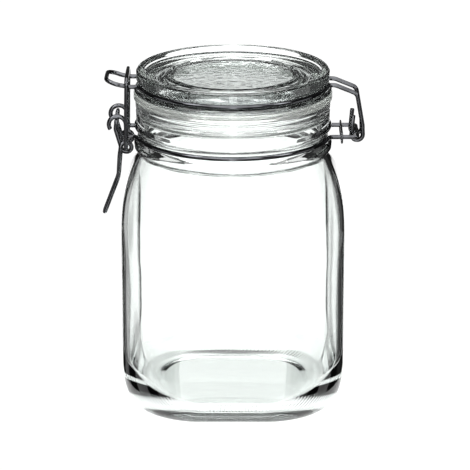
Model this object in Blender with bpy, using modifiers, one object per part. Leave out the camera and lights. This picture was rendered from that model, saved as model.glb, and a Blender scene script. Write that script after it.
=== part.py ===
"""A clip-top preserving jar: a square glass body, a hinged glass lid on a rubber ring and a steel wire closure.

The origin is the centre of the base on the surface it stands on. +Z is up, the latch faces -X and the
hinge +X. Lengths are in metres.
"""

import math

import bmesh
import bpy
from mathutils import Vector

mm = 0.001
gap = 0.3 * mm

# Jar body
body_half = 55.3 * mm
body_corner = 30 * mm
wall = 3.0 * mm
foot_half = 46 * mm
foot_corner = 33 * mm
foot_inner = 38.5 * mm
push_up = 2.2 * mm
heel_height = 24 * mm
floor_thickness = 5.5 * mm
shoulder_start = 83.5 * mm
shoulder_power = 3.8
pinch_height = 127.4 * mm
pinch_half = 46.0 * mm
bead_radius = 49.3 * mm
upper_bead_radius = 49.1 * mm
neck_radius = 48.3 * mm
rim_height = 155.0 * mm
mouth_radius = 42.6 * mm
throat_radius = 44.0 * mm
around = 48

# Lid and sealing ring
gasket_bottom = rim_height + gap
gasket_top = gasket_bottom + 3.4 * mm
gasket_outer = 49.3 * mm
gasket_inner = 43.0 * mm
lid_bottom = gasket_top + gap
lid_top = 170 * mm
lid_radius = 48 * mm
flange_radius = 49 * mm
plug_radius = 40.4 * mm
plug_bottom = 153.5 * mm
disc_radius = 33 * mm
disc_top = 167.4 * mm
recess_floor = 166.6 * mm
hollow_ceiling = 160.4 * mm

# Wires
wire_radius = 1.1 * mm
lid_wire_height = 162.9 * mm
lid_wire_ring = 47.4 * mm
neck_wire_height = 137.5 * mm
groove_radius = 47.6 * mm
neck_wire_ring = groove_radius + gap + wire_radius
groove_clearance = 1.4 * mm

# Finger loop on the lid wire
loop_side = 10 * mm
loop_flat_end = -55.5 * mm
loop_height = 163.7 * mm
loop_tip = -62.5 * mm
loop_tip_height = 165.9 * mm
loop_tip_side = 11.6 * mm

# Hinge
hinge_x = 61.6 * mm
eye_radius = 2.9 * mm
hinge_strand_side = 6.4 * mm
neck_strand_side = 10.9 * mm

# Latch
latch_eye = Vector((-57.2 * mm, 10 * mm, 143.7 * mm))
latch_eye_radius = 4.2 * mm
lever_pin = Vector((-57.7 * mm, 0, 145.2 * mm))
pin_end_side = 11.5 * mm
bail_pin = Vector((-53.0 * mm, 0, 131.9 * mm))
coil_radius = 2.65 * mm
bail_top = Vector((-52.3 * mm, 12.8 * mm, 167.1 * mm))
bail_foot_side = 13.2 * mm
lever_arm_side = 7.2 * mm
coil_start_side = 8.0 * mm
coil_end_side = 10.6 * mm
lever_tip_x = -64.5 * mm

# Clip ring round the two neck-wire strands
clip_x = 53.9 * mm
clip_wire = 0.55 * mm
clip_half_length = 13 * mm
clip_half_height = 2.6 * mm


def clear_scene():
    for old in list(bpy.data.objects):
        bpy.data.objects.remove(old, do_unlink=True)


def make_collection(name):
    collection = bpy.data.collections.new(name)
    bpy.context.scene.collection.children.link(collection)
    return collection


def make_material(name, colour, roughness, metallic=0.0, transmission=0.0):
    material = bpy.data.materials.new(name)
    material.use_nodes = True
    shader = material.node_tree.nodes["Principled BSDF"]
    shader.inputs["Base Color"].default_value = (*colour, 1.0)
    shader.inputs["Roughness"].default_value = roughness
    shader.inputs["Metallic"].default_value = metallic
    shader.inputs["Transmission Weight"].default_value = transmission
    material.diffuse_color = (*colour, 1.0)
    return material


def add_object(name, data, material, collection):
    data.materials.append(material)
    obj = bpy.data.objects.new(name, data)
    collection.objects.link(obj)
    return obj


def move_origin(obj, point):
    """Puts a moving piece's origin on its joint's axis and keeps the piece where it is."""
    for spline in obj.data.splines:
        for node in spline.points:
            node.co = (node.co.xyz - point).to_4d()
    obj.location = point


# Outlines

def arc(centre, radius, start, end, steps):
    """Points (first, second) on an arc between two angles in degrees, both ends included."""
    points = []
    for i in range(steps + 1):
        angle = math.radians(start + (end - start) * i / steps)
        points.append((centre[0] + radius * math.cos(angle), centre[1] + radius * math.sin(angle)))
    return points


def rounded_square(half, corner, height):
    """A rounded square read at even angles, so that it lofts cleanly into a circle."""
    straight = half - corner
    ring = []
    for i in range(around):
        angle = 2 * math.pi * i / around
        along, across = sorted((abs(math.cos(angle)), abs(math.sin(angle))), reverse=True)
        reach = half / along
        if reach * across > straight:
            bend = corner ** 2 - straight ** 2 * (along - across) ** 2
            reach = straight * (along + across) + math.sqrt(bend)
        ring.append(Vector((reach * math.cos(angle), reach * math.sin(angle), height)))
    return ring


def loft(name, sections, material, collection):
    """Joins rings of points, each (half width, corner radius, height), and closes both ends."""
    mesh = bpy.data.meshes.new(name)
    bm = bmesh.new()
    rings = []
    for half, corner, height in sections:
        rings.append([bm.verts.new(point) for point in rounded_square(half, corner, height)])
    for lower, upper in zip(rings, rings[1:]):
        for i in range(around):
            j = (i + 1) % around
            bm.faces.new((lower[i], lower[j], upper[j], upper[i]))
    bm.faces.new(list(reversed(rings[0])))
    bm.faces.new(rings[-1])
    bmesh.ops.recalc_face_normals(bm, faces=bm.faces)
    bm.to_mesh(mesh)
    bm.free()
    mesh.shade_smooth()
    mesh.set_sharp_from_angle(angle=math.radians(40))
    return add_object(name, mesh, material, collection)


def turned(name, outline, closed, steps, material, collection):
    """Turns an outline of (radius, height) points about Z. It runs down the outer side."""
    mesh = bpy.data.meshes.new(name)
    bm = bmesh.new()
    verts = [bm.verts.new((radius, 0, height)) for radius, height in outline]
    for first, second in zip(verts, verts[1:]):
        bm.edges.new((first, second))
    if closed:
        bm.edges.new((verts[-1], verts[0]))
    bm.to_mesh(mesh)
    bm.free()
    obj = add_object(name, mesh, material, collection)
    screw = obj.modifiers.new("Turn", "SCREW")
    screw.axis = "Z"
    screw.steps = steps
    screw.render_steps = steps
    screw.use_merge_vertices = True
    screw.merge_threshold = 0.00001
    screw.use_smooth_shade = True
    return obj


# Wire routes

def rounded_route(corners, steps=4):
    """Rounds each corner of a route. A corner is (point, bend radius)."""
    route = [Vector(corners[0][0])]
    for (before, _), (corner, radius), (after, _) in zip(corners, corners[1:], corners[2:]):
        corner = Vector(corner)
        inward = (Vector(before) - corner).normalized()
        outward = (Vector(after) - corner).normalized()
        turn = math.pi - inward.angle(outward)
        if radius == 0 or turn < 0.01:
            route.append(corner)
            continue
        reach = radius * math.tan(turn / 2)
        centre = corner + (inward + outward).normalized() * radius / math.cos(turn / 2)
        start = corner + inward * reach - centre
        end = corner + outward * reach - centre
        for i in range(steps + 1):
            route.append(centre + start.slerp(end, i / steps).normalized() * radius)
    route.append(Vector(corners[-1][0]))
    return route


def mirrored_route(half):
    """Adds the half on the other side of the XZ plane to a route that ends at or near that plane."""
    other = [Vector((point.x, -point.y, point.z)) for point in reversed(half)]
    if abs(half[-1].y) < 1e-6:
        other = other[1:]
    return half + other


def wire(name, route, radius, material, collection, cyclic=False):
    curve = bpy.data.curves.new(name, "CURVE")
    curve.dimensions = "3D"
    curve.bevel_depth = radius
    curve.bevel_resolution = 2
    curve.use_fill_caps = True
    spline = curve.splines.new("POLY")
    spline.points.add(len(route) - 1)
    for node, point in zip(spline.points, route):
        node.co = point.to_4d()
        node.radius = 1
    spline.use_cyclic_u = cyclic
    return add_object(name, curve, material, collection)


def ring_corners(radius, height, latch_side, hinge_side, steps):
    """The half ring at +Y from the latch strand to the hinge strand, with a corner at each strand."""
    bend = 3 * mm
    first = 180 - math.degrees(math.asin((latch_side + bend) / radius))
    last = math.degrees(math.asin((hinge_side + bend) / radius))
    points = arc((0, 0), radius, first, last, steps)
    corners = [((x, y, height), 0) for x, y in points]
    for end, side in ((0, latch_side), (-1, hinge_side)):
        x, y = points[end]
        corner_x = x + (y - side) * y / x
        corner = ((corner_x, side, height), bend * 0.8)
        if end == 0:
            corners.insert(0, corner)
        else:
            corners.append(corner)
    return corners


# Glass and rubber

def jar_sections():
    """Rings from the underside out, up the outer side, over the rim and down the inside."""
    sections = [(foot_inner - 2.5 * mm, 24 * mm, push_up), (foot_inner - 1 * mm, 25 * mm, push_up * 0.8)]
    sections.append((foot_inner, 26 * mm, 0))

    heel_reach = body_half - foot_half
    heel_steps = 5
    for i in range(heel_steps + 1):
        angle = math.pi / 2 * i / heel_steps
        bulge = math.sin(angle)
        corner = foot_corner + (body_corner - foot_corner) * bulge
        sections.append((foot_half + heel_reach * bulge, corner, heel_height * (1 - math.cos(angle))))

    shoulder_steps = 8
    for i in range(shoulder_steps + 1):
        sections.append(shoulder_ring(i / shoulder_steps, 0))

    neck = [(bead_radius - 1 * mm, 129.2 * mm), (bead_radius, 131.2 * mm), (bead_radius - 0.1 * mm, 132.6 * mm),
            (groove_radius + 0.3 * mm, 135.3 * mm), (groove_radius, neck_wire_height),
            (groove_radius + 0.3 * mm, 139.3 * mm), (upper_bead_radius, 140.8 * mm), (upper_bead_radius, 142 * mm),
            (neck_radius, 143.8 * mm), (neck_radius - 0.1 * mm, 149.2 * mm), (neck_radius - 0.6 * mm, 150.4 * mm),
            (neck_radius + 0.1 * mm, 151.6 * mm)]
    neck += arc((neck_radius - 1.4 * mm, rim_height - 1.6 * mm), 1.6 * mm, 0, 90, 3)
    neck += [(mouth_radius + 1 * mm, rim_height), (mouth_radius, rim_height - 1 * mm), (mouth_radius, 148.4 * mm),
             (throat_radius, 146.4 * mm), (throat_radius, 133 * mm)]
    sections += [(radius, radius, height) for radius, height in neck]

    for i in range(shoulder_steps, -1, -1):
        sections.append(shoulder_ring(i / shoulder_steps, wall))

    inner_half = body_half - wall
    floor_half = 40 * mm
    for i in range(heel_steps, -1, -1):
        angle = math.pi / 2 * i / heel_steps
        bulge = math.sin(angle)
        half = floor_half + (inner_half - floor_half) * bulge
        rise = (heel_height + 2 * mm - floor_thickness) * (1 - math.cos(angle))
        sections.append((half, 28 * mm - 1.4 * mm * bulge, floor_thickness + rise))
    return sections


def shoulder_ring(share, inset):
    """One ring of the shoulder, which draws in from the rounded square to the round pinch under the neck."""
    blend = math.sin(math.pi / 2 * share)
    height = shoulder_start + (pinch_height - shoulder_start) * blend
    half = body_half - (body_half - pinch_half) * blend ** shoulder_power
    corner = body_corner + (half - body_corner) * blend ** 3.5
    if inset:
        half -= inset
        corner = min(half, corner - inset * (1 - blend))
        height -= 1.5 * mm * (1 - blend)
    return half, corner, height


def make_jar(material, collection):
    return loft("jar", jar_sections(), material, collection)


def make_lid(material, collection):
    groove = (lid_wire_ring, lid_wire_height)
    outline = [(0, disc_top), (disc_radius - 1 * mm, disc_top), (disc_radius, disc_top - 0.3 * mm),
               (disc_radius + 0.8 * mm, recess_floor), (38.6 * mm, recess_floor)]
    outline += arc((38.6 * mm, recess_floor + 6 * mm), 6 * mm, -70, -32, 3)
    outline += [(44.8 * mm, lid_top), (lid_radius - 0.9 * mm, lid_top), (lid_radius, lid_top - 0.9 * mm)]
    outline += [(lid_radius, lid_wire_height + 2 * mm)]
    outline += arc(groove, groove_clearance, 110, 250, 4)
    outline += [(lid_radius + 0.2 * mm, lid_wire_height - 1.7 * mm), (flange_radius, lid_bottom + 1.4 * mm),
                (flange_radius, lid_bottom + 0.7 * mm), (flange_radius - 0.7 * mm, lid_bottom)]
    outline += [(plug_radius + 0.9 * mm, lid_bottom), (plug_radius, plug_bottom + 0.6 * mm),
                (plug_radius - 0.6 * mm, plug_bottom), (plug_radius - 3 * mm, plug_bottom),
                (disc_radius, hollow_ceiling - 0.4 * mm), (disc_radius - 3 * mm, hollow_ceiling),
                (0, hollow_ceiling)]
    return turned("lid", outline, False, 48, material, collection)


def make_gasket(material, collection):
    middle = (gasket_bottom + gasket_top) / 2
    edge = (gasket_top - gasket_bottom) / 2
    outline = [(gasket_inner, gasket_top)]
    outline += arc((gasket_outer - edge, middle), edge, 90, -90, 4)
    outline += [(gasket_inner, gasket_bottom)]
    return turned("gasket", outline, True, 48, material, collection)


# Wires

def make_lid_wire(material, collection):
    """From the hinge's eye up and in, half round the lid's groove and out to the finger loop."""
    y = hinge_strand_side
    corners = [((59.6 * mm, y - 0.4 * mm, 147.4 * mm), 0)]
    corners += [((x, y, z), 0) for x, z in arc((hinge_x, neck_wire_height), eye_radius, 180, 360, 8)]
    corners += [((64.2 * mm, y, 142.5 * mm), 6 * mm), ((61.4 * mm, y, 158.4 * mm), 3.6 * mm),
                ((50.6 * mm, y, lid_wire_height - 0.1 * mm), 6 * mm)]
    corners += reversed(ring_corners(lid_wire_ring, lid_wire_height, loop_side, y, 20))
    corners += [((-50.6 * mm, loop_side, lid_wire_height), 6 * mm),
                ((loop_flat_end, loop_side, loop_height), 6 * mm),
                ((loop_tip, loop_tip_side, loop_tip_height), 5 * mm), ((loop_tip, 0, loop_tip_height), 0)]
    return wire("lid_wire", mirrored_route(rounded_route(corners)), wire_radius, material, collection)


def make_neck_wire(material, collection):
    """From the latch's open eye down, half round the neck and out to the hinge's cross bar."""
    eye = arc((latch_eye.x, latch_eye.z), latch_eye_radius, 215, 0, 10)
    corners = [((x, latch_eye.y, z), 0) for x, z in eye]
    corners += [((-52.6 * mm, latch_eye.y, neck_wire_height), 1.6 * mm)]
    corners += ring_corners(neck_wire_ring, neck_wire_height, latch_eye.y, neck_strand_side, 20)
    corners += [((hinge_x, neck_strand_side, neck_wire_height), 2.2 * mm), ((hinge_x, 0, neck_wire_height), 0)]
    return wire("neck_wire", mirrored_route(rounded_route(corners)), wire_radius, material, collection)


def make_clip_ring(material, collection):
    """A closed oval of thin wire that draws the two strands of the neck wire together."""
    centre_z = neck_wire_height - 0.4 * mm
    straight = clip_half_length - clip_half_height
    right = arc((straight, centre_z), clip_half_height, -90, 90, 6)
    left = arc((-straight, centre_z), clip_half_height, 90, 270, 6)
    route = [Vector((clip_x, y, z)) for y, z in right + left]
    return wire("clip_ring", route, clip_wire, material, collection, cyclic=True)


def make_lever(material, collection):
    """From the pin in the latch's eye down to the coil that holds the bail, and down to the thumb end."""
    x, z = bail_pin.x, bail_pin.z
    corners = [((lever_pin.x, pin_end_side, lever_pin.z), 0), ((lever_pin.x, lever_arm_side, lever_pin.z), 1.5 * mm),
               ((-58.2 * mm, lever_arm_side, 140.5 * mm), 4 * mm)]
    turn_steps = 16
    for i, (coil_x, coil_z) in enumerate(arc((x, z), coil_radius, 180, 540, turn_steps)):
        side = coil_start_side + (coil_end_side - coil_start_side) * i / turn_steps
        corners.append(((coil_x, side, coil_z), 0))
    corners += [((-56.3 * mm, 9.8 * mm, 127.5 * mm), 8 * mm), ((-57.3 * mm, 2.3 * mm, 114.5 * mm), 8 * mm),
                ((lever_tip_x, 2.0 * mm, 95.6 * mm), 1.6 * mm), ((lever_tip_x, 0, 95.6 * mm), 0)]
    obj = wire("lever", mirrored_route(rounded_route(corners)), wire_radius, material, collection)
    move_origin(obj, lever_pin)
    return obj


def make_bail(material, collection):
    """A bow whose top bar lies over the finger loop and whose feet turn in the lever's coils."""
    corners = [((bail_pin.x, 6.6 * mm, bail_pin.z), 0), ((bail_pin.x, bail_foot_side, bail_pin.z), 1.4 * mm),
               (bail_top, 3 * mm), ((bail_top.x, 0, bail_top.z), 0)]
    obj = wire("bail", mirrored_route(rounded_route(corners, 5)), wire_radius, material, collection)
    move_origin(obj, bail_pin)
    return obj


def main():
    clear_scene()
    jar_collection = make_collection("preserving_jar")
    glass = make_material("glass", (0.86, 0.90, 0.88), 0.03, transmission=1.0)
    rubber = make_material("rubber", (0.80, 0.82, 0.80), 0.45)
    steel = make_material("steel", (0.45, 0.46, 0.47), 0.28, metallic=1.0)

    make_jar(glass, jar_collection)
    make_lid(glass, jar_collection)
    make_gasket(rubber, jar_collection)
    make_lid_wire(steel, jar_collection)
    make_neck_wire(steel, jar_collection)
    make_clip_ring(steel, jar_collection)
    make_lever(steel, jar_collection)
    make_bail(steel, jar_collection)


main()
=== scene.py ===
import math

import bmesh
import bpy
from mathutils import Matrix, Vector, noise


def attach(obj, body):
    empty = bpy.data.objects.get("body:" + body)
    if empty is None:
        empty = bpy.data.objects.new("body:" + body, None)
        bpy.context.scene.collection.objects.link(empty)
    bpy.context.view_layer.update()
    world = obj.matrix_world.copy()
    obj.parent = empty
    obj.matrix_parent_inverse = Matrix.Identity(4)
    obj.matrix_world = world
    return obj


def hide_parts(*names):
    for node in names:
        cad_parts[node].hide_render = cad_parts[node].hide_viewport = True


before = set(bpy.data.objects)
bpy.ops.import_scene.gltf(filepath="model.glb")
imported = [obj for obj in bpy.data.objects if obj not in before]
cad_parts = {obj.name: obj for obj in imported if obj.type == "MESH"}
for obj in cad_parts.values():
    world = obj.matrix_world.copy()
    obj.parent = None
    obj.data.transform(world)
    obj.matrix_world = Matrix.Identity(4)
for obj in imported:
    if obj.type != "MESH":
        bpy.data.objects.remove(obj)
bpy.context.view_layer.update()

mm = 0.001
filletSteps = 5
print("frame loaded")


# shared helpers

def filletOutline(corners):
    # corners are (radius, height, bend); each bend becomes a small arc
    outline = []
    for i, (r, z, bend) in enumerate(corners):
        here = Vector((r, z))
        if bend == 0 or i in (0, len(corners) - 1):
            outline.append(here)
            continue
        toBefore = Vector(corners[i - 1][:2]) - here
        toAfter = Vector(corners[i + 1][:2]) - here
        opening = toBefore.angle(toAfter)
        reach = min(bend / math.tan(opening / 2), toBefore.length * 0.49, toAfter.length * 0.49)
        start = here + toBefore.normalized() * reach
        end = here + toAfter.normalized() * reach
        for k in range(filletSteps + 1):
            t = k / filletSteps
            outline.append(start * (1 - t) ** 2 + here * 2 * t * (1 - t) + end * t ** 2)
    return outline


def arcPoints(centre, radius, start, end, steps):
    points = []
    for i in range(steps + 1):
        a = math.radians(start + (end - start) * i / steps)
        points.append((centre[0] + radius * math.cos(a), centre[1] + radius * math.sin(a)))
    return points


def roundedReach(half, corner, angle):
    # distance from the middle to the edge of a rounded square, in the direction of angle
    straight = half - corner
    along, across = sorted((abs(math.cos(angle)), abs(math.sin(angle))), reverse=True)
    reach = half / along
    if reach * across > straight:
        inCorner = corner ** 2 - straight ** 2 * (along - across) ** 2
        reach = straight * (along + across) + math.sqrt(max(0, inCorner))
    return reach


def spinOutline(bm, outline, steps, layers=()):
    # outline is (radius, height) pairs in mm; layers is [(name, values)], a value for each of the pairs
    for name, values in layers:
        bm.verts.layers.float.new(name)
    verts = [bm.verts.new((radius * mm, 0, height * mm)) for radius, height in outline]
    for name, values in layers:
        layer = bm.verts.layers.float[name]
        for vert, value in zip(verts, values):
            vert[layer] = value
    edges = [bm.edges.new(pair) for pair in zip(verts, verts[1:])]
    bmesh.ops.spin(bm, geom=verts + edges, axis=(0, 0, 1), cent=(0, 0, 0), angle=2 * math.pi, steps=steps,
                   use_merge=True, use_duplicate=False)


def finishMesh(bm, name, material, body, node, sharpAngle=60):
    bmesh.ops.recalc_face_normals(bm, faces=bm.faces[:])
    mesh = bpy.data.meshes.new(name)
    bm.to_mesh(mesh)
    bm.free()
    mesh.shade_smooth()
    mesh.set_sharp_from_angle(angle=math.radians(sharpAngle))
    mesh.materials.append(material)
    piece = bpy.data.objects.new(name, mesh)
    bpy.context.scene.collection.objects.link(piece)
    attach(piece, body)
    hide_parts(node)
    print(name, len(mesh.polygons), "faces")


def addNode(tree, kind, **settings):
    node = tree.nodes.new(kind)
    for key, value in settings.items():
        setattr(node, key, value)
    return node


def setInputs(node, **values):
    for key, value in values.items():
        node.inputs[key].default_value = value


def mathNode(tree, operation, *values):
    node = addNode(tree, "ShaderNodeMath", operation=operation)
    for socket, value in zip(node.inputs, values):
        if isinstance(value, (int, float)):
            socket.default_value = value
        else:
            tree.links.new(value, socket)
    return node.outputs[0]


def brightest(tree, light, *others):
    for other in others:
        light = mathNode(tree, "MAXIMUM", light, other)
    return light


def rangeNode(tree, value, fromLow, fromHigh, toLow=0.0, toHigh=1.0):
    node = addNode(tree, "ShaderNodeMapRange", interpolation_type="SMOOTHSTEP")
    tree.links.new(value, node.inputs["Value"])
    for key, number in (("From Min", fromLow), ("From Max", fromHigh), ("To Min", toLow), ("To Max", toHigh)):
        node.inputs[key].default_value = number
    return node.outputs["Result"]


# camera, world, floor and lamps

view = {
    "lens": 207.7, "sensor": 36, "place": (1.0 * mm, -1300 * mm, 513.5 * mm), "pitch": 18.33,
    "nearest": 0.05, "farthest": 20,
}
studio = {
    # brightness of each panel and light
    "backPanel": 1.40, "squarePanel": 1.0, "cornerPanel": 0.45, "rightCorner": 0.08, "gap": 0.02,
    "upperGrey": 0.06, "frontBox": 3.0, "strip": 3.4, "ceiling": 3.4, "seenWhite": 1.05,
    # widths round the jar, in degrees
    "squareHalf": 13, "cornerHalf": 8.0, "panelEdge": 1.2, "frontHalf": 32, "frontEdge": 4,
    "stripHalf": 4, "stripEdge": 1, "backHalf": 44, "backEdge": 2, "rightHalf": 18, "rightEdge": 2,
    # heights over the horizon, in degrees
    "panelTop": 0, "panelFade": 3, "frontLow": -6, "frontFull": 4, "ceilingLow": 50, "ceilingFull": 56,
}
# the floor glows evenly, except for a painted shadow right under the jar, where its glow is lowered
floorLook = {
    "glow": 0.80, "shade": 0.46, "paintedShadowRadius": 40, "glowRadius": 50, "tone": 0.26, "roughness": 0.6,
    "specular": 0.1, "radius": 78, "sides": 96, "drop": 0.05,
}
lampAim = Vector((0, 0, 0.1))
lamps = {
    "keySoftbox": {"place": (-0.9, -0.7, 1.1), "size": (0.5, 0.7), "power": 9},
    "fillSoftbox": {"place": (1.0, -0.5, 0.8), "size": (0.35, 0.6), "power": 5},
}


def makeCamera():
    data = bpy.data.cameras.new("productCamera")
    data.lens = view["lens"]
    data.sensor_width = view["sensor"]
    data.clip_start = view["nearest"]
    data.clip_end = view["farthest"]
    camera = bpy.data.objects.new("productCamera", data)
    camera.location = view["place"]
    camera.rotation_euler = (math.radians(90 - view["pitch"]), 0, 0)
    bpy.context.scene.collection.objects.link(camera)
    bpy.context.scene.camera = camera


def makePanels(tree, turn, rise):
    # white panels stand square to the jar, narrower and paler ones at its corners, with dark gaps between
    s = studio
    fromBack = mathNode(tree, "ABSOLUTE", turn)
    fullTurn = mathNode(tree, "ADD", turn, 360)
    toSquare = mathNode(tree, "ABSOLUTE", mathNode(tree, "WRAP", fullTurn, 45, -45))
    toCorner = mathNode(tree, "SUBTRACT", 45, toSquare)
    square = rangeNode(tree, toSquare, s["squareHalf"], s["squareHalf"] + s["panelEdge"], 1, 0)
    squareLight = rangeNode(tree, fromBack, s["backHalf"], s["backHalf"] + s["backEdge"],
                            s["backPanel"], s["squarePanel"])
    square = mathNode(tree, "MULTIPLY", square, squareLight)
    # the corner panel behind the jar at its right is dim
    corner = rangeNode(tree, toCorner, s["cornerHalf"], s["cornerHalf"] + s["panelEdge"], 1, 0)
    fromBackRight = mathNode(tree, "ABSOLUTE", mathNode(tree, "SUBTRACT", turn, 45))
    cornerLight = rangeNode(tree, fromBackRight, s["rightHalf"], s["rightHalf"] + s["rightEdge"],
                            s["rightCorner"], s["cornerPanel"])
    corner = mathNode(tree, "MULTIPLY", corner, cornerLight)
    panels = brightest(tree, square, corner, s["gap"])
    # above the panels' tops all round is a dark grey
    above = rangeNode(tree, rise, s["panelTop"], s["panelTop"] + s["panelFade"])
    below = mathNode(tree, "SUBTRACT", 1, above)
    overGrey = mathNode(tree, "SUBTRACT", panels, s["upperGrey"])
    return mathNode(tree, "MULTIPLY_ADD", below, overGrey, s["upperGrey"])


def makeFrontLights(tree, turn, rise):
    # a wide softbox before the jar, over the horizon, and a narrow strip at every height
    s = studio
    fromBack = mathNode(tree, "ABSOLUTE", turn)
    boxStart = 180 - s["frontHalf"]
    front = rangeNode(tree, fromBack, boxStart - s["frontEdge"], boxStart)
    front = mathNode(tree, "MULTIPLY", front, rangeNode(tree, rise, s["frontLow"], s["frontFull"]))
    front = mathNode(tree, "MULTIPLY", front, s["frontBox"])
    stripStart = 180 - s["stripHalf"]
    strip = rangeNode(tree, fromBack, stripStart - s["stripEdge"], stripStart, 0, s["strip"])
    return brightest(tree, front, strip)


def makeWorld():
    world = bpy.data.worlds.new("studioWorld")
    world.use_nodes = True
    tree = world.node_tree
    tree.nodes.clear()
    coords = addNode(tree, "ShaderNodeTexCoord")
    split = addNode(tree, "ShaderNodeSeparateXYZ")
    tree.links.new(coords.outputs["Generated"], split.inputs[0])
    # turn is 0 behind the jar, 90 at its right and 180 before it; rise is the angle over the horizon
    turn = mathNode(tree, "DEGREES", mathNode(tree, "ARCTAN2", split.outputs["X"], split.outputs["Y"]))
    rise = mathNode(tree, "DEGREES", mathNode(tree, "ARCSINE", split.outputs["Z"]))
    ceiling = rangeNode(tree, rise, studio["ceilingLow"], studio["ceilingFull"])
    ceiling = mathNode(tree, "MULTIPLY", ceiling, studio["ceiling"])
    light = brightest(tree, makePanels(tree, turn, rise), makeFrontLights(tree, turn, rise), ceiling)
    # the camera itself sees plain white
    path = addNode(tree, "ShaderNodeLightPath")
    shown = addNode(tree, "ShaderNodeMix", data_type="FLOAT")
    tree.links.new(path.outputs["Is Camera Ray"], shown.inputs["Factor"])
    tree.links.new(light, shown.inputs["A"])
    shown.inputs["B"].default_value = studio["seenWhite"]
    background = addNode(tree, "ShaderNodeBackground")
    background.inputs["Color"].default_value = (1, 1, 1, 1)
    tree.links.new(shown.outputs["Result"], background.inputs["Strength"])
    output = addNode(tree, "ShaderNodeOutputWorld")
    tree.links.new(background.outputs[0], output.inputs["Surface"])
    bpy.context.scene.world = world


def makeFloor():
    s = floorLook
    material = bpy.data.materials.new("paleFloor")
    material.use_nodes = True
    tree = material.node_tree
    shader = tree.nodes["Principled BSDF"]
    shader.inputs["Base Color"].default_value = (s["tone"], s["tone"], s["tone"], 1)
    shader.inputs["Roughness"].default_value = s["roughness"]
    shader.inputs["Specular IOR Level"].default_value = s["specular"]
    shader.inputs["Emission Color"].default_value = (1, 1, 1, 1)
    coords = addNode(tree, "ShaderNodeTexCoord")
    distance = addNode(tree, "ShaderNodeVectorMath", operation="LENGTH")
    tree.links.new(coords.outputs["Object"], distance.inputs[0])
    # painted shadow: the floor glows less right under the jar, standing in for its shade
    glow = rangeNode(tree, distance.outputs["Value"], s["paintedShadowRadius"] * mm, s["glowRadius"] * mm,
                     s["shade"], s["glow"])
    tree.links.new(glow, shader.inputs["Emission Strength"])
    bm = bmesh.new()
    bmesh.ops.create_circle(bm, cap_ends=True, radius=s["radius"] * mm, segments=s["sides"])
    bmesh.ops.translate(bm, verts=bm.verts[:], vec=(0, 0, -s["drop"] * mm))
    mesh = bpy.data.meshes.new("floorDisc")
    bm.to_mesh(mesh)
    bm.free()
    mesh.materials.append(material)
    floor = bpy.data.objects.new("floorDisc", mesh)
    bpy.context.scene.collection.objects.link(floor)


def makeLamp(name, place, size, power):
    data = bpy.data.lights.new(name, "AREA")
    data.shape = "RECTANGLE"
    data.size, data.size_y = size
    data.energy = power
    lamp = bpy.data.objects.new(name, data)
    lamp.location = place
    lamp.rotation_mode = "QUATERNION"
    lamp.rotation_quaternion = (lampAim - Vector(place)).to_track_quat("-Z", "Y")
    bpy.context.scene.collection.objects.link(lamp)


makeCamera()
makeWorld()
makeFloor()
for lampName, settings in lamps.items():
    makeLamp(lampName, **settings)
bpy.context.scene.view_settings.view_transform = "Standard"
print("camera, studio and floor made")


# materials

glassLook = {
    "tint": (0.955, 0.975, 0.965), "ior": 1.5, "absorb": (0.71, 0.78, 0.76), "density": 7.0,
    "inShadow": (0.93, 0.95, 0.94), "jarRoughness": 0, "lidRoughness": 0.05,
    "ripple": {"Scale": 60, "Detail": 2, "Strength": 0.10, "Distance": 0.2 * mm},
}
steelLook = {
    "colour": (0.09, 0.092, 0.098), "tarnish": (0.05, 0.05, 0.053),
    "patchScale": 140, "patchDetail": 4, "wornFrom": 0.45, "wornTo": 0.72,
    "smoothest": 0.04, "lineRoughness": 0.06, "wornRoughness": 0.06, "alongWire": 0.04,
    "lines": {"Scale": 3000, "Detail": 3, "Strength": 0.10, "Distance": 0.01 * mm},
}
rubberLook = {
    "colour": (0.84, 0.86, 0.83), "shade": (0.76, 0.78, 0.76), "transmission": 0.85, "ior": 1.42,
    "cloudScale": 90, "cloudDetail": 3, "cloudFrom": 0.3, "cloudTo": 0.7, "smoothest": 0.10, "roughest": 0.18,
    "grain": {"Scale": 2200, "Detail": 2, "Strength": 0.2, "Distance": 0.02 * mm},
}


def makeReliefGroup():
    # noise and the bump that it makes: ripples in the glass, drawn lines in the wire, grain in the rubber
    group = bpy.data.node_groups.new("noiseRelief", "ShaderNodeTree")
    group.interface.new_socket("Vector", in_out="INPUT", socket_type="NodeSocketVector")
    for name in ("Scale", "Detail", "Strength", "Distance"):
        group.interface.new_socket(name, in_out="INPUT", socket_type="NodeSocketFloat")
    group.interface.new_socket("Height", in_out="OUTPUT", socket_type="NodeSocketFloat")
    group.interface.new_socket("Normal", in_out="OUTPUT", socket_type="NodeSocketVector")
    given = addNode(group, "NodeGroupInput")
    pattern = addNode(group, "ShaderNodeTexNoise")
    bump = addNode(group, "ShaderNodeBump")
    result = addNode(group, "NodeGroupOutput")
    for name in ("Vector", "Scale", "Detail"):
        group.links.new(given.outputs[name], pattern.inputs[name])
    for name in ("Strength", "Distance"):
        group.links.new(given.outputs[name], bump.inputs[name])
    group.links.new(pattern.outputs["Fac"], bump.inputs["Height"])
    group.links.new(pattern.outputs["Fac"], result.inputs["Height"])
    group.links.new(bump.outputs["Normal"], result.inputs["Normal"])
    return group


def addRelief(tree, shader, vector, settings):
    relief = addNode(tree, "ShaderNodeGroup", node_tree=reliefGroup)
    tree.links.new(vector, relief.inputs["Vector"])
    setInputs(relief, **settings)
    tree.links.new(relief.outputs["Normal"], shader.inputs["Normal"])
    return relief.outputs["Height"]


def addNoise(tree, vector, scale, detail):
    pattern = addNode(tree, "ShaderNodeTexNoise")
    setInputs(pattern, Scale=scale, Detail=detail)
    tree.links.new(vector, pattern.inputs["Vector"])
    return pattern.outputs["Fac"]


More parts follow.
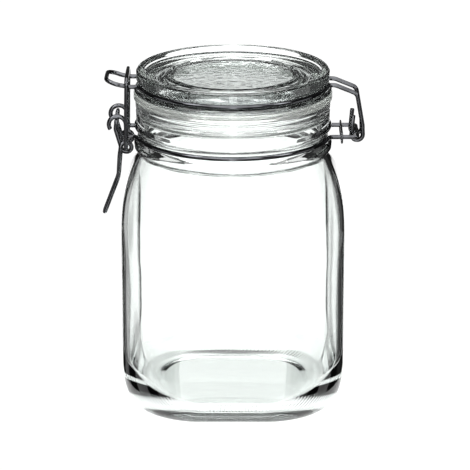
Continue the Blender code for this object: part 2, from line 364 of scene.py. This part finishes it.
def mixColours(tree, factor, first, second):
    mix = addNode(tree, "ShaderNodeMix", data_type="RGBA")
    tree.links.new(factor, mix.inputs["Factor"])
    setInputs(mix, A=(*first, 1), B=(*second, 1))
    return mix.outputs["Result"]


def makeGlass(name, roughness):
    material = bpy.data.materials.new(name)
    material.use_nodes = True
    tree = material.node_tree
    shader = tree.nodes["Principled BSDF"]
    output = tree.nodes["Material Output"]
    shader.inputs["Base Color"].default_value = (*glassLook["tint"], 1)
    shader.inputs["IOR"].default_value = glassLook["ior"]
    shader.inputs["Transmission Weight"].default_value = 1
    shader.inputs["Roughness"].default_value = roughness
    coords = addNode(tree, "ShaderNodeTexCoord")
    addRelief(tree, shader, coords.outputs["Object"], glassLook["ripple"])
    # light passes straight through to what the glass would shade
    path = addNode(tree, "ShaderNodeLightPath")
    clear = addNode(tree, "ShaderNodeBsdfTransparent")
    clear.inputs["Color"].default_value = (*glassLook["inShadow"], 1)
    mix = addNode(tree, "ShaderNodeMixShader")
    tree.links.new(path.outputs["Is Shadow Ray"], mix.inputs["Fac"])
    tree.links.new(shader.outputs["BSDF"], mix.inputs[1])
    tree.links.new(clear.outputs["BSDF"], mix.inputs[2])
    tree.links.new(mix.outputs[0], output.inputs["Surface"])
    absorb = addNode(tree, "ShaderNodeVolumeAbsorption")
    setInputs(absorb, Color=(*glassLook["absorb"], 1), Density=glassLook["density"])
    tree.links.new(absorb.outputs["Volume"], output.inputs["Volume"])
    return material


def makeSteel(name):
    s = steelLook
    material = bpy.data.materials.new(name)
    material.use_nodes = True
    tree = material.node_tree
    shader = tree.nodes["Principled BSDF"]
    shader.inputs["Metallic"].default_value = 1
    # makeWire keeps the place across and along the wire, so the drawn lines follow each bend
    place = addNode(tree, "ShaderNodeAttribute", attribute_name="wireCoords")
    stretch = addNode(tree, "ShaderNodeMapping")
    stretch.inputs["Scale"].default_value = (1, 1, s["alongWire"])
    tree.links.new(place.outputs["Vector"], stretch.inputs["Vector"])
    lines = addRelief(tree, shader, stretch.outputs["Vector"], s["lines"])
    coords = addNode(tree, "ShaderNodeTexCoord")
    patches = addNoise(tree, coords.outputs["Object"], s["patchScale"], s["patchDetail"])
    worn = rangeNode(tree, patches, s["wornFrom"], s["wornTo"])
    tree.links.new(mixColours(tree, worn, s["colour"], s["tarnish"]), shader.inputs["Base Color"])
    rough = mathNode(tree, "MULTIPLY_ADD", lines, s["lineRoughness"], s["smoothest"])
    rough = mathNode(tree, "MULTIPLY_ADD", worn, s["wornRoughness"], rough)
    tree.links.new(rough, shader.inputs["Roughness"])
    return material


def makeRubber(name):
    s = rubberLook
    material = bpy.data.materials.new(name)
    material.use_nodes = True
    tree = material.node_tree
    shader = tree.nodes["Principled BSDF"]
    shader.inputs["Transmission Weight"].default_value = s["transmission"]
    shader.inputs["IOR"].default_value = s["ior"]
    coords = addNode(tree, "ShaderNodeTexCoord")
    cloud = addNoise(tree, coords.outputs["Object"], s["cloudScale"], s["cloudDetail"])
    tree.links.new(mixColours(tree, cloud, s["colour"], s["shade"]), shader.inputs["Base Color"])
    rough = rangeNode(tree, cloud, s["cloudFrom"], s["cloudTo"], s["smoothest"], s["roughest"])
    tree.links.new(rough, shader.inputs["Roughness"])
    addRelief(tree, shader, coords.outputs["Object"], s["grain"])
    return material


reliefGroup = makeReliefGroup()
jarGlassMaterial = makeGlass("jarGlassFinish", glassLook["jarRoughness"])
lidGlassMaterial = makeGlass("lidGlassFinish", glassLook["lidRoughness"])
steelMaterial = makeSteel("drawnSteelFinish")
rubberMaterial = makeRubber("sealRubberFinish")
print("materials made")


# jar

jarShape = {
    "around": 480, "faceHalf": 55.3, "corner": 30, "wall": 3.0, "heel": 24, "pushUp": 1.1,
    # the underside; its corner shares are parts of the half width
    "footHalf": 46, "footCorner": 33, "ticksFrom": 39, "pushUpCorner": 0.66, "stepCorner": 0.675,
    "tickRingCorner": 0.8,
    # the shoulder, from the end of the straight side to the pinch under the neck
    "shoulderStart": 83.5, "shoulderPower": 3.8, "cornerPower": 3.5, "pinchHeight": 127.4, "pinchHalf": 46.0,
    # the neck and its bore
    "rimHeight": 155.0, "mouthHalf": 43.3, "boreHalf": 42.7, "boreTop": 153.2, "boreBottom": 147.8,
    "boreRib": 0.5, "boreRibs": 2,
    # the inside; its wall is slightly wavy up to waveTop
    "floorTop": 5.5, "innerFloorHalf": 38.5, "innerFloorCorner": 28, "innerCornerLoss": 1.4,
    "floorCorner": 0.68, "innerHeel": 30, "innerDrop": 1.5,
    "wave": 0.44, "waveAcross": 28, "waveUp": 22, "waveShift": 3, "waveTop": 131,
    # the ticks under the heel
    "tickEvery": 3, "tickHeight": 0.8, "tickStart": 39.9, "tickEnd": 53.5, "tickFade": 7, "tickTop": 9,
    "bendSteps": 14, "sideSteps": 9, "shoulderSteps": 30, "ribSteps": 24,
}


def shoulderRing(share, inset):
    # share runs 0 to 1 from the end of the straight side to the pinch under the neck
    s = jarShape
    blend = math.sin(math.pi / 2 * share)
    height = s["shoulderStart"] + (s["pinchHeight"] - s["shoulderStart"]) * blend
    half = s["faceHalf"] - (s["faceHalf"] - s["pinchHalf"]) * blend ** s["shoulderPower"]
    corner = s["corner"] + (half - s["corner"]) * blend ** s["cornerPower"]
    if inset:
        half -= inset
        corner = min(half, corner - inset * (1 - blend))
        height -= s["innerDrop"] * (1 - blend)
    return half, corner, height


def roundRings(corners):
    return [(p.x, p.x, p.y) for p in filletOutline(corners)]


def outerRings():
    # (half width, corner radius, height), from the middle of the underside out and up to the rim
    s = jarShape
    rings = [(half, half * s["pushUpCorner"], s["pushUp"]) for half in (0, 6, 12, 18, 24, 28, 31)]
    step = [(31.8, s["pushUp"], 0), (34.2, s["pushUp"], 4), (38.4, 0.05, 4), (40.2, 0, 0)]
    rings += [(p.x, p.x * s["stepCorner"], p.y) for p in filletOutline(step)]
    for half in (40.7, 41.5, 42.6, 43.8, 44.8):
        share = (half - s["ticksFrom"]) / (s["footHalf"] - s["ticksFrom"])
        rings.append((half, s["footCorner"] * (s["tickRingCorner"] + (1 - s["tickRingCorner"]) * share), 0))
    for i in range(s["bendSteps"] + 1):
        a = math.pi / 2 * i / s["bendSteps"]
        half = s["footHalf"] + (s["faceHalf"] - s["footHalf"]) * math.sin(a)
        corner = s["footCorner"] + (s["corner"] - s["footCorner"]) * math.sin(a)
        rings.append((half, corner, s["heel"] * (1 - math.cos(a))))
    for i in range(1, s["sideSteps"]):
        height = s["heel"] + (s["shoulderStart"] - s["heel"]) * i / s["sideSteps"]
        rings.append((s["faceHalf"], s["corner"], height))
    rings += [shoulderRing(i / s["shoulderSteps"], 0) for i in range(s["shoulderSteps"] + 1)]
    neck = [(s["pinchHalf"], s["pinchHeight"], 0), (47.6, 128.3, 1.0), (49.3, 130.6, 1.6),
            (49.3, 132.9, 1.6), (47.6, 135.5, 1.6), (47.6, 139.1, 1.6), (49.1, 140.9, 1.2),
            (49.1, 142.2, 1.0), (48.3, 144.0, 1.6), (48.3, 148.9, 0.7), (47.6, 150.3, 0.7),
            (48.5, 151.6, 0.7), (48.5, s["rimHeight"], 1.6), (s["mouthHalf"], s["rimHeight"], 0)]
    return rings + roundRings(neck)[1:]


def innerRings():
    # from the mouth down the inside to the middle of the floor
    s = jarShape
    wallHalf = s["faceHalf"] - s["wall"]
    mouth = [(s["mouthHalf"], s["rimHeight"], 0), (s["boreHalf"], 154.3, 0.5),
             (s["boreHalf"], s["boreTop"], 0)]
    rings = roundRings(mouth)[1:]
    for i in range(1, s["ribSteps"]):  # soft ribs run round the bore
        swell = (1 - math.cos(2 * math.pi * s["boreRibs"] * i / s["ribSteps"])) / 2
        half = s["boreHalf"] + s["boreRib"] * swell
        rings.append((half, half, s["boreTop"] + (s["boreBottom"] - s["boreTop"]) * i / s["ribSteps"]))
    throat = [(43.0, s["boreBottom"], 0), (44.4, 146.6, 1.2), (44.2, 132.5, 6),
              (s["pinchHalf"] - s["wall"], s["pinchHeight"], 0)]
    rings += roundRings(throat)
    for i in range(s["shoulderSteps"] - 1, -1, -1):
        rings.append(shoulderRing(i / s["shoulderSteps"], s["wall"]))
    wallTop = s["shoulderStart"] - s["innerDrop"]
    for i in range(1, s["sideSteps"]):
        height = wallTop + (s["innerHeel"] - wallTop) * i / s["sideSteps"]
        rings.append((wallHalf, s["corner"] - s["wall"], height))
    for i in range(s["bendSteps"], -1, -1):
        a = math.pi / 2 * i / s["bendSteps"]
        half = s["innerFloorHalf"] + (wallHalf - s["innerFloorHalf"]) * math.sin(a)
        corner = s["innerFloorCorner"] - s["innerCornerLoss"] * math.sin(a)
        rings.append((half, corner, s["floorTop"] + (s["innerHeel"] - s["floorTop"]) * (1 - math.cos(a))))
    return rings + [(half, half * s["floorCorner"], s["floorTop"]) for half in (36, 30, 23, 16, 8, 0)]


def makeJar():
    s = jarShape
    outer, inner = outerRings(), innerRings()
    rings = outer + inner
    bm = bmesh.new()
    spinOutline(bm, [(half, height) for half, corner, height in rings], s["around"], [
        ("cornerShare", [corner / half if half else 1 for half, corner, height in rings]),
        ("inside", [0.0] * len(outer) + [1.0] * len(inner)),
    ])
    bmesh.ops.remove_doubles(bm, verts=bm.verts[:], dist=0.002 * mm)
    share = bm.verts.layers.float["cornerShare"]
    inside = bm.verts.layers.float["inside"]
    # each round ring becomes a rounded square, from the share of its corners
    for v in bm.verts:
        half = math.hypot(v.co.x, v.co.y) / mm
        if half < 0.01:
            continue
        angle = math.atan2(v.co.y, v.co.x)
        reach = roundedReach(half, half * min(1, v[share]), angle)
        if v[inside] and v.co.z < s["waveTop"] * mm:
            across, up = s["waveAcross"], s["waveUp"]
            where = Vector((v.co.x * across, v.co.y * across, v.co.z * up + s["waveShift"]))
            reach += s["wave"] * noise.noise(where)
        if v.co.z < s["tickTop"] * mm and not v[inside] and s["tickStart"] < half < s["tickEnd"]:
            column = round(angle / (2 * math.pi) * s["around"])
            if column % s["tickEvery"] == 0:
                v.co.z += s["tickHeight"] * mm * min(1, (s["tickEnd"] - half) / s["tickFade"])
        v.co.x, v.co.y = reach * mm * math.cos(angle), reach * mm * math.sin(angle)
    finishMesh(bm, "jarGlass", jarGlassMaterial, "jar", "jar")


# lid and seal

lidShape = {
    "around": 320, "discHeight": 167.4, "underside": 160.4, "discStep": 0.8, "discRings": 40,
    "reliefRing": 31.2, "ringHalf": 1.0, "ringHeight": 0.25,
    "hammered": 29.5, "hammerFade": 2, "hammerDepth": 0.08, "hammerScale": 300,
}


def lidOutline():
    s = lidShape
    groove = arcPoints((47.4, 162.9), 1.4, 108, 252, 8)
    rim = [(32.0, s["discHeight"], 0), (33.0, s["discHeight"], 0.4), (33.8, 166.6, 0.5), (38.6, 166.6, 2.0),
           (42.8, 167.9, 4.0), (44.3, 169.9, 0.8), (45.2, 170.0, 0.6), (47.2, 170.0, 1.2), (48.0, 169.0, 0.8),
           (48.0, 165.4, 0.6), (47.1, 164.4, 0.2)]
    plug = [(47.1, 161.4, 0.2), (48.2, 161.2, 0.4), (49.0, 160.4, 0.6), (49.0, 159.6, 0.5),
            (48.3, 159.0, 0.3), (41.3, 159.0, 0.5), (40.4, 157.6, 0.8), (40.4, 154.2, 0.6),
            (39.8, 153.5, 0.4), (37.4, 153.5, 0.9), (33.4, 159.6, 1.8), (30.0, s["underside"], 2.0),
            (28.0, s["underside"], 0)]
    outline = [Vector((i * s["discStep"], s["discHeight"])) for i in range(s["discRings"])]
    outline += filletOutline(rim) + [Vector(p) for p in groove] + filletOutline(plug)
    return outline + [Vector((r, s["underside"])) for r in (24, 18, 12, 6, 0)]


def makeLid():
    s = lidShape
    bm = bmesh.new()
    spinOutline(bm, lidOutline(), s["around"])
    bmesh.ops.remove_doubles(bm, verts=bm.verts[:], dist=0.002 * mm)
    # the raised disc gets a low ring and, inside it, a hammered surface
    for v in bm.verts:
        if abs(v.co.z / mm - s["discHeight"]) > 0.05:
            continue
        r = math.hypot(v.co.x, v.co.y) / mm
        lift = s["ringHeight"] * max(0, 1 - ((r - s["reliefRing"]) / s["ringHalf"]) ** 2)
        if r < s["hammered"]:
            fade = min(1, (s["hammered"] - r) / s["hammerFade"])
            dent = noise.noise(Vector((v.co.x, v.co.y, 0)) * s["hammerScale"])
            lift += s["hammerDepth"] * fade * dent
        v.co.z += lift * mm
    finishMesh(bm, "lidGlass", lidGlassMaterial, "lid", "lid")


sealShape = {
    "around": 256, "inner": 43.0, "outer": 49.3, "bottom": 155.3, "top": 158.7, "crease": 0.35,
    "creaseHalf": 0.5, "innerBend": 0.4, "outerBend": 1.0,
}


def makeSeal():
    s = sealShape
    inner, outer, low, high = s["inner"], s["outer"], s["bottom"], s["top"]
    middle = (low + high) / 2
    outline = [(inner, middle, 0), (inner, high, s["innerBend"]), (outer, high, s["outerBend"]),
               (outer, middle + s["creaseHalf"], 0.4), (outer - s["crease"], middle, 0.3),
               (outer, middle - s["creaseHalf"], 0.4), (outer, low, s["outerBend"]),
               (inner, low, s["innerBend"]), (inner, middle, 0)]
    bm = bmesh.new()
    spinOutline(bm, filletOutline(outline), s["around"])
    bmesh.ops.remove_doubles(bm, verts=bm.verts[:], dist=0.005 * mm)
    finishMesh(bm, "sealRing", rubberMaterial, "lid", "gasket")


makeJar()
makeLid()
makeSeal()
print("glass and seal made")


# wires

wireShape = {
    "radius": 1.1, "clipRadius": 0.55, "segments": 20, "bendSteps": 9, "ringSteps": 56,
    "lidRing": 47.4, "lidHeight": 162.9, "neckRing": 49.0, "ringBend": 3, "bendShare": 0.8,
    # the places that the wires turn about, (x, z); the neck wire lies level with the hinge
    "hinge": (61.6, 137.5), "leverPins": (-57.7, 145.2), "coils": (-53.0, 131.9),
    # rings that ease a cut end: how far in from it and how wide, both as shares of the radius
    "cutEnd": ((0, 0.72), (0.06, 0.92), (0.3, 1.0)),
}


def bentRoute(corners):
    # corners are ((x, y, z), bend radius) in mm; bends come out as round arcs
    steps = wireShape["bendSteps"]
    route = [Vector(corners[0][0])]
    for (before, _), (corner, radius), (after, _) in zip(corners, corners[1:], corners[2:]):
        corner = Vector(corner)
        inward = (Vector(before) - corner).normalized()
        outward = (Vector(after) - corner).normalized()
        turn = math.pi - inward.angle(outward)
        if radius == 0 or turn < 0.01:
            route.append(corner)
            continue
        reach = radius * math.tan(turn / 2)
        centre = corner + (inward + outward).normalized() * radius / math.cos(turn / 2)
        start = corner + inward * reach - centre
        end = corner + outward * reach - centre
        for i in range(steps + 1):
            route.append(centre + start.slerp(end, i / steps).normalized() * radius)
    route.append(Vector(corners[-1][0]))
    return route


def bothSides(half):
    # half ends on the middle plane, or short of it, and is mirrored there
    other = [Vector((p.x, -p.y, p.z)) for p in reversed(half)]
    return half + (other[1:] if abs(half[-1].y) < 0.001 else other)


def wireStations(route, radius, closed):
    # (point, direction, width) for each ring of the wire
    count = len(route)
    stations = []
    for i, point in enumerate(route):
        if closed:
            way = route[(i + 1) % count] - route[i - 1]
        else:
            way = route[min(i + 1, count - 1)] - route[max(i - 1, 0)]
        stations.append((point, way.normalized(), 1.0))
    if closed:
        return stations
    (head, headWay, _), (tail, tailWay, _) = stations[0], stations[-1]
    cutEnd = wireShape["cutEnd"]
    headRings = [(head + headWay * radius * inset, headWay, width) for inset, width in cutEnd]
    tailRings = [(tail - tailWay * radius * inset, tailWay, width) for inset, width in reversed(cutEnd)]
    return headRings + stations[1:-1] + tailRings


def makeWire(name, route, radius, body, node, closed=False):
    # a circle is drawn along the route, ring by ring, turned with it and without twist
    radius = radius * mm
    stations = wireStations([p * mm for p in route], radius, closed)
    bm = bmesh.new()
    coords = bm.verts.layers.float_vector.new("wireCoords")
    side = stations[0][1].orthogonal().normalized()
    length = 0.0
    before = None
    for point, tangent, width in stations:
        if before is not None:
            side = (side - tangent * side.dot(tangent)).normalized()
            length += (point - before).length
        up = tangent.cross(side)
        place = Matrix((side, up, tangent)).transposed().to_4x4()
        place.translation = point
        if before is None:
            made = bmesh.ops.create_circle(bm, cap_ends=False, radius=radius * width,
                                           segments=wireShape["segments"], matrix=place)
            ring = made["verts"]
            edges = bm.edges[:]
            firstEdges = edges
        else:
            made = bmesh.ops.extrude_edge_only(bm, edges=edges)["geom"]
            ring = [part for part in made if isinstance(part, bmesh.types.BMVert)]
            onRing = set(ring)
            edges = [part for part in made
                     if isinstance(part, bmesh.types.BMEdge) and onRing.issuperset(part.verts)]
            bmesh.ops.transform(bm, matrix=place @ placeBefore.inverted(), verts=ring)
            if width != widthBefore:
                grow = width / widthBefore
                bmesh.ops.scale(bm, vec=(grow, grow, grow), space=Matrix.Translation(-point), verts=ring)
        for v in ring:
            offset = v.co - point
            v[coords] = (offset.dot(side), offset.dot(up), length)
        placeBefore, widthBefore, before = place, width, point
    if closed:
        bmesh.ops.bridge_loops(bm, edges=firstEdges + edges)
    else:
        bmesh.ops.holes_fill(bm, edges=bm.edges[:], sides=0)
    finishMesh(bm, name, steelMaterial, body, node, 50)


def ringRoute(radius, height, latchSide, hingeSide):
    # half a ring round the neck or lid, whose ends turn outwards at y = latchSide and y = hingeSide
    bend = wireShape["ringBend"]
    first = 180 - math.degrees(math.asin((latchSide + bend) / radius))
    last = math.degrees(math.asin((hingeSide + bend) / radius))
    points = arcPoints((0, 0), radius, first, last, wireShape["ringSteps"])
    turns = []
    for (x, y), side in ((points[0], latchSide), (points[-1], hingeSide)):
        turns.append(((x + (y - side) * y / x, side, height), bend * wireShape["bendShare"]))
    return [turns[0]] + [((x, y, height), 0) for x, y in points] + [turns[1]]


def makeLidWire():
    y, high = 6.4, wireShape["lidHeight"]
    corners = [((59.6, y - 0.4, 147.4), 0)]
    corners += [((x, y, z), 0) for x, z in arcPoints(wireShape["hinge"], 2.82, 180, 360, 22)]
    corners += [((64.2, y, 142.5), 6), ((61.4, y, 158.4), 3.6), ((50.6, y, high - 0.1), 6)]
    corners += reversed(ringRoute(wireShape["lidRing"], high, 10, y))
    corners += [((-50.6, 10, high), 6), ((-55.5, 10, 163.7), 6)]
    corners += [((-62.5, 11.6, 165.9), 5), ((-62.5, 0, 165.9), 0)]
    makeWire("lidWire", bothSides(bentRoute(corners)), wireShape["radius"], "lid", "lid_wire")


def makeNeckWire():
    hingeX, high = wireShape["hinge"]
    corners = [((x, 10, z), 0) for x, z in arcPoints((-57.2, 143.7), 4.2, 215, 0, 28)]
    corners += [((-52.6, 10, high), 1.6)]
    corners += ringRoute(wireShape["neckRing"], high, 10, 10.9)
    corners += [((hingeX, 10.9, high), 2.2), ((hingeX, 0, high), 0)]
    makeWire("neckWire", bothSides(bentRoute(corners)), wireShape["radius"], "jar", "neck_wire")


def makeClipRing():
    right = arcPoints((10.4, 137.1), 2.6, -90, 90, 14)
    left = arcPoints((-10.4, 137.1), 2.6, 90, 270, 14)
    route = [Vector((53.9, y, z)) for y, z in right + left]
    makeWire("clipRing", route, wireShape["clipRadius"], "jar", "clip_ring", closed=True)


def makeLever():
    pinX, pinZ = wireShape["leverPins"]
    corners = [((pinX, 11.5, pinZ), 0), ((pinX, 7.2, pinZ), 1.5), ((-58.2, 7.2, 140.5), 4)]
    coilSteps, coilStart, coilWidth = 40, 8.0, 2.6
    for i, (x, z) in enumerate(arcPoints(wireShape["coils"], 2.65, 180, 540, coilSteps)):
        corners.append(((x, coilStart + coilWidth * i / coilSteps, z), 0))
    tipX, tipZ = -64.498, 95.6
    corners += [((-56.3, 9.8, 127.5), 8), ((-57.3, 2.3, 114.5), 8)]
    corners += [((tipX, 2.0, tipZ), 1.6), ((tipX, 0, tipZ), 0)]
    makeWire("leverHandle", bothSides(bentRoute(corners)), wireShape["radius"], "lever", "lever")


def makeBail():
    coilX, coilZ = wireShape["coils"]
    barX, barZ = -52.3, 167.1
    corners = [((coilX, 6.6, coilZ), 0), ((coilX, 13.2, coilZ), 1.4)]
    corners += [((barX, 12.8, barZ), 3), ((barX, 0, barZ), 0)]
    makeWire("bailBow", bothSides(bentRoute(corners)), wireShape["radius"], "bail", "bail")


makeLidWire()
makeNeckWire()
makeClipRing()
makeLever()
makeBail()
print("wires made")
